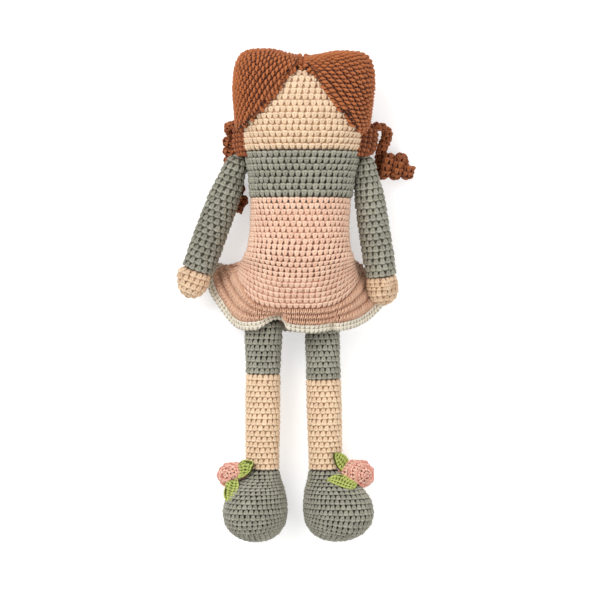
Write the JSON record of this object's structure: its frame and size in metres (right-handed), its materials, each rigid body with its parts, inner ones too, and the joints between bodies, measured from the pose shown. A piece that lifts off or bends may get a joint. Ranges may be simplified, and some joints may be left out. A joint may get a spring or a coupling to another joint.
{
  "type": "crocheted doll",
  "caption": "Amigurumi rag doll with a blank face, parted hair with curled pigtails, a flared skirt with frill, sewn limbs and shoes with flowers",
  "frame": {"origin": "on the flat of the back, under the middle of the body, where the doll lies", "axes": "X to the right in the front view, Y from the feet to the head, Z from the back to the front"},
  "size_m": [0.172, 0.3547, 0.0801],
  "materials": {
    "skin": "matt cotton yarn, single crochet",
    "grey": "matt cotton yarn, single crochet",
    "pink": "matt cotton yarn, single crochet",
    "frill_pink": "matt cotton yarn, single crochet",
    "cream": "matt cotton yarn, single crochet",
    "brown": "matt cotton yarn, single crochet",
    "coral": "matt cotton yarn, single crochet",
    "green": "matt cotton yarn, single crochet",
    "filling": "fibre filling"
  },
  "bodies": {
    "torso": {"head": "skin", "yoke": "grey", "dress": "pink", "body_base": "grey", "body_stuffing": "filling", "frill": "frill_pink", "hem": "cream", "hair_left": "brown", "hair_right": "brown", "hip_stitches_left": "grey", "hip_stitches_right": "grey"},
    "shoulder_left": {"shoulder_stitches_left": "grey"},
    "arm_left": {"sleeve_left": "grey", "hand_left": "skin", "arm_stuffing_left": "filling"},
    "leg_left": {"legging_left": "grey", "lower_leg_left": "skin", "shoe_left": "grey", "leg_stuffing_left": "filling", "flower_left": "coral", "leaf_upper_left": "green", "leaf_lower_left": "green"},
    "pigtail_left": {"pigtail_left": "brown"},
    "shoulder_right": {"shoulder_stitches_right": "grey"},
    "arm_right": {"sleeve_right": "grey", "hand_right": "skin", "arm_stuffing_right": "filling"},
    "leg_right": {"legging_right": "grey", "lower_leg_right": "skin", "shoe_right": "grey", "leg_stuffing_right": "filling", "flower_right": "coral", "leaf_upper_right": "green", "leaf_lower_right": "green", "leaf_small_right": "green"},
    "pigtail_right": {"pigtail_right": "brown"}
  },
  "joints": [
    {"name": "shoulder_left_swing", "type": "hinge", "parent": "torso", "child": "shoulder_left", "pos_m": [-0.04616, 0.04287, 0.03026], "axis": [-1, 0, 0], "range_deg": [-3, 90]},
    {"name": "shoulder_left_spread", "type": "hinge", "parent": "shoulder_left", "child": "arm_left", "pos_m": [-0.04616, 0.04287, 0.03026], "axis": [0, 0, -1], "range_deg": [-12, 60]},
    {"name": "shoulder_right_swing", "type": "hinge", "parent": "torso", "child": "shoulder_right", "pos_m": [0.04828, 0.04287, 0.03026], "axis": [-1, 0, 0], "range_deg": [-3, 90]},
    {"name": "shoulder_right_spread", "type": "hinge", "parent": "shoulder_right", "child": "arm_right", "pos_m": [0.04828, 0.04287, 0.03026], "axis": [0, 0, 1], "range_deg": [-3, 50]},
    {"name": "hip_left_swing", "type": "hinge", "parent": "torso", "child": "leg_left", "pos_m": [-0.02639, -0.0663, 0.02], "axis": [-1, 0, 0], "range_deg": [-10, 90], "deforming": ["frill", "hem"]},
    {"name": "hip_right_swing", "type": "hinge", "parent": "torso", "child": "leg_right", "pos_m": [0.0159, -0.0663, 0.02], "axis": [-1, 0, 0], "range_deg": [-10, 90], "deforming": ["frill", "hem"]},
    {"name": "pigtail_left_swing", "type": "hinge", "parent": "torso", "child": "pigtail_left", "pos_m": [-0.04604, 0.07182, 0.024], "axis": [0, 0, -1], "range_deg": [-4, 8]},
    {"name": "pigtail_right_swing", "type": "hinge", "parent": "torso", "child": "pigtail_right", "pos_m": [0.04976, 0.06871, 0.024], "axis": [0, 0, 1], "range_deg": [-4, 11]}
  ]
}
